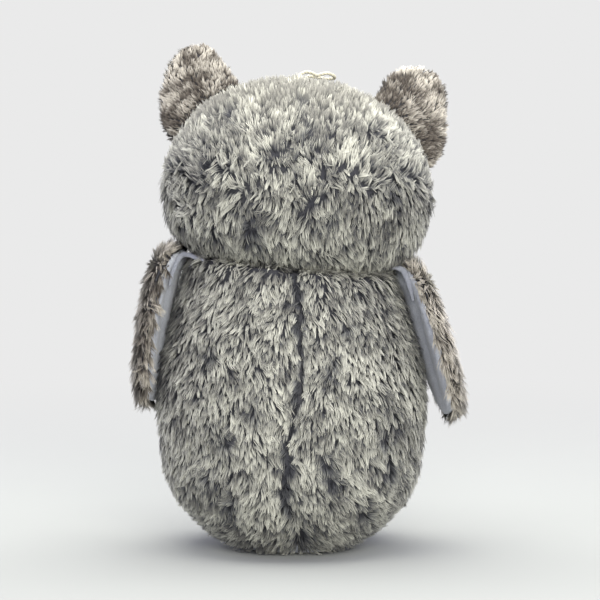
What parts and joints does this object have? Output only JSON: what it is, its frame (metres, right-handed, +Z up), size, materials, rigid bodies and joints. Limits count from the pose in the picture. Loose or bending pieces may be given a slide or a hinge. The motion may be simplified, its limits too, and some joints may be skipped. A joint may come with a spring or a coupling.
{
  "type": "plush owl",
  "caption": "Seated soft toy owl in frosted long-pile fabric, with flap wings that lift, bending ears, face discs, small feet and a weighted flat base.",
  "frame": {"origin": "middle of the flat under side of the base, where the owl sits on a surface", "axes": "+Z up, the owl faces -Y, its left wing is towards +X"},
  "size_m": [0.1934, 0.139, 0.2987],
  "materials": {
    "long_pile_fur": "long brushed polyester pile, charcoal at the root and cream at the tip",
    "cream_plush": "short cream pile",
    "grey_velboa": "smooth blue-grey short nap",
    "fibre_filling": "loose white polyester fibre",
    "pellet_cloth": "plain woven cotton round plastic pellets",
    "eye_plastic": "polished dark plastic",
    "washer_plastic": "natural moulded plastic",
    "beak_felt": "pressed felt",
    "loop_cord": "twisted cotton cord"
  },
  "bodies": {
    "torso": {"body_back_left_panel": "long_pile_fur", "body_back_right_panel": "long_pile_fur", "belly_panel": "cream_plush", "base_panel": "grey_velboa", "body_stuffing": "fibre_filling", "pellet_pouch": "pellet_cloth", "head_back_left_panel": "long_pile_fur", "head_back_right_panel": "long_pile_fur", "face_panel": "long_pile_fur", "head_stuffing": "fibre_filling", "left_face_disc": "cream_plush", "right_face_disc": "cream_plush", "left_eye": "eye_plastic", "right_eye": "eye_plastic", "left_eye_washer": "washer_plastic", "right_eye_washer": "washer_plastic", "beak": "beak_felt", "hang_loop": "loop_cord", "left_foot_cover": "grey_velboa", "left_foot_stuffing": "fibre_filling", "right_foot_cover": "grey_velboa", "right_foot_stuffing": "fibre_filling"},
    "left_wing": {"left_wing_outside": "long_pile_fur", "left_wing_lining": "grey_velboa", "left_wing_wadding": "fibre_filling"},
    "left_ear": {"left_ear_back": "long_pile_fur", "left_ear_front": "grey_velboa", "left_ear_wadding": "fibre_filling"},
    "right_wing": {"right_wing_outside": "long_pile_fur", "right_wing_lining": "grey_velboa", "right_wing_wadding": "fibre_filling"},
    "right_ear": {"right_ear_back": "long_pile_fur", "right_ear_front": "grey_velboa", "right_ear_wadding": "fibre_filling"}
  },
  "joints": [
    {"name": "left_wing_raise", "type": "hinge", "parent": "torso", "child": "left_wing", "pos_m": [0.067, 0.002, 0.17304], "axis": [0, -1, 0], "range_deg": [0, 75]},
    {"name": "right_wing_raise", "type": "hinge", "parent": "torso", "child": "right_wing", "pos_m": [-0.067, 0.002, 0.16296], "axis": [0, 1, 0], "range_deg": [0, 75]},
    {"name": "left_ear_bend", "type": "hinge", "parent": "torso", "child": "left_ear", "pos_m": [0.05409, -0.007, 0.26125], "axis": [0.8387, 0, -0.5446], "range_deg": [-20, 20], "stiffness_Nm_per_rad": 0.02},
    {"name": "right_ear_bend", "type": "hinge", "parent": "torso", "child": "right_ear", "pos_m": [-0.06923, -0.007, 0.24829], "axis": [0.7071, 0, 0.7071], "range_deg": [-20, 20], "stiffness_Nm_per_rad": 0.02}
  ]
}
